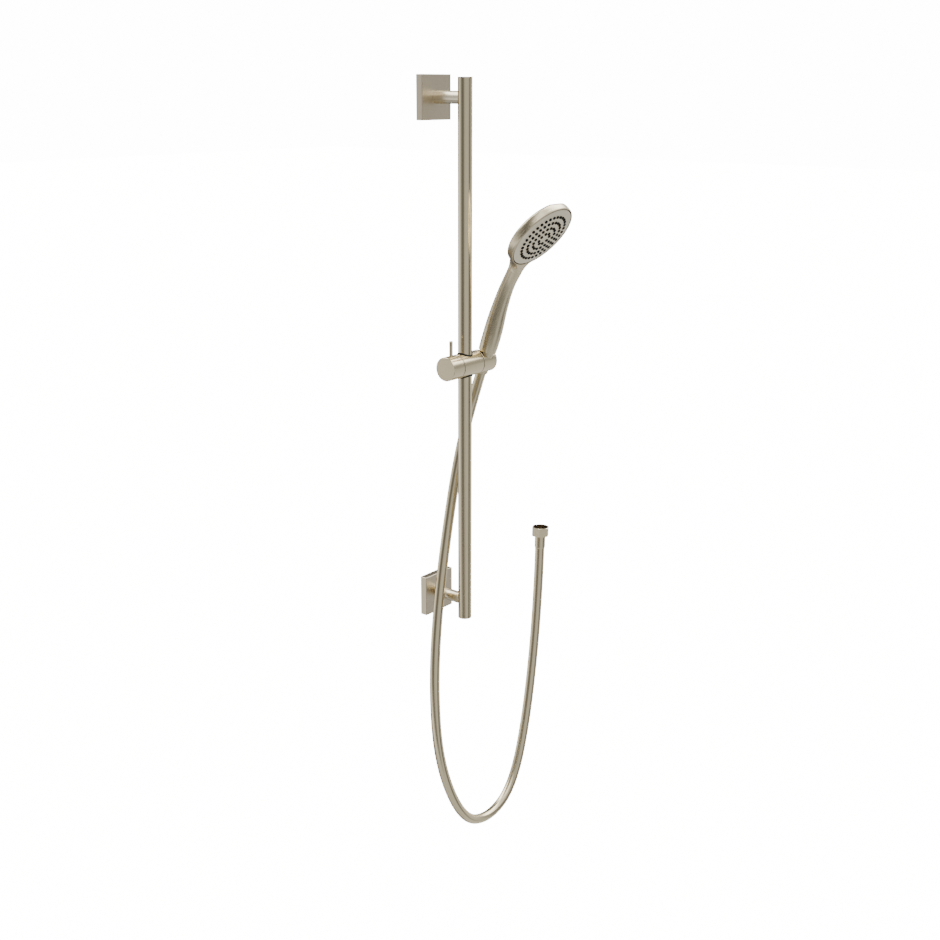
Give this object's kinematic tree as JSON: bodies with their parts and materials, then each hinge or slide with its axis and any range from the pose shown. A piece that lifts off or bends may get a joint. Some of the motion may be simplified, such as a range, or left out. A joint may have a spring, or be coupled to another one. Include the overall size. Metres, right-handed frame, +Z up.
{
  "type": "slide rail shower handset",
  "caption": "Handheld shower head on a round slide rail with square wall plates, a sliding, swivelling and tilting holder, a lock knob with lever, and a long hanging hose.",
  "frame": {"origin": "centre of the lower wall bracket's back face, on the wall", "axes": "+X right along the wall, +Y into the wall, +Z up along the rail"},
  "size_m": [0.2552, 0.1863, 1.102],
  "materials": {
    "nickel": "brushed nickel",
    "steel": "plain",
    "brass": "machined",
    "hose": "satin metal look",
    "rubber": "matte",
    "black_plastic": "satin",
    "white_plastic": "satin"
  },
  "bodies": {
    "rail_set": {"rail_tube": "nickel", "rail_top_cap": "nickel", "rail_bottom_cap": "nickel", "lower_wall_bracket": "steel", "lower_cover_plate": "nickel", "lower_post": "nickel", "lower_grub_screw": "steel", "lower_rail_stud": "steel", "lower_rail_insert": "brass", "upper_wall_bracket": "steel", "upper_cover_plate": "nickel", "upper_post": "nickel", "upper_grub_screw": "steel", "upper_rail_stud": "steel", "upper_rail_insert": "brass", "shower_hose": "hose", "end_ferrule": "nickel", "end_insert": "brass"},
    "carriage": {"rail_liner": "black_plastic"},
    "slider": {"slider_body": "nickel", "brake_pad": "black_plastic", "friction_washer": "black_plastic"},
    "lock": {"lock_knob": "nickel", "clamp_spindle": "steel", "knob_grub_screw": "steel", "lock_lever": "nickel", "lever_ring": "nickel"},
    "holder": {"holder": "nickel", "pivot_screw": "steel"},
    "hose_end": {"hose_insert": "brass", "hose_ferrule": "nickel"},
    "handset": {"handle_shell": "nickel", "face_plate": "nickel", "nozzle_mat": "rubber", "distributor": "white_plastic", "head_o_ring": "rubber", "head_screw": "steel", "water_tube": "white_plastic", "inlet_nipple": "brass", "flow_regulator": "white_plastic", "filter_washer": "rubber", "hose_cone_nut": "nickel"},
    "supply_nut": {"inlet_nut": "nickel", "inlet_washer": "rubber"}
  },
  "joints": [
    {"name": "slider_slide", "type": "slide", "parent": "rail_set", "child": "carriage", "axis": [0, 0, 1], "range_m": [-0.285, 0.295], "deforming": ["shower_hose"]},
    {"name": "slider_swivel", "type": "hinge", "parent": "carriage", "child": "slider", "pos_m": [0, -0.0576, 0.33905], "axis": [0, 0, 1], "range_deg": [-60, 60], "deforming": ["shower_hose"]},
    {"name": "lock_turn", "type": "hinge", "parent": "slider", "child": "lock", "pos_m": [-0.03, -0.0576, 0.33905], "axis": [1, 0, 0], "range_deg": [0, 90]},
    {"name": "holder_tilt", "type": "hinge", "parent": "slider", "child": "holder", "pos_m": [0.037, -0.0576, 0.33905], "axis": [1, 0, 0], "range_deg": [-5, 30], "deforming": ["shower_hose"]},
    {"name": "handset_lift", "type": "slide", "parent": "holder", "child": "hose_end", "axis": [0, -0.3291, 0.9443], "range_m": [0, 0.055], "deforming": ["shower_hose"]},
    {"name": "handset_spin", "type": "hinge", "parent": "hose_end", "child": "handset", "pos_m": [0.037, -0.06112, 0.33782], "axis": [0, -0.3291, 0.9443], "range_deg": [-50, 50]},
    {"name": "inlet_nut_spin", "type": "hinge", "parent": "rail_set", "child": "supply_nut", "pos_m": [0.19414, -0.048, 0.048], "axis": [0.0239, 0, 0.9997], "continuous": true}
  ]
}
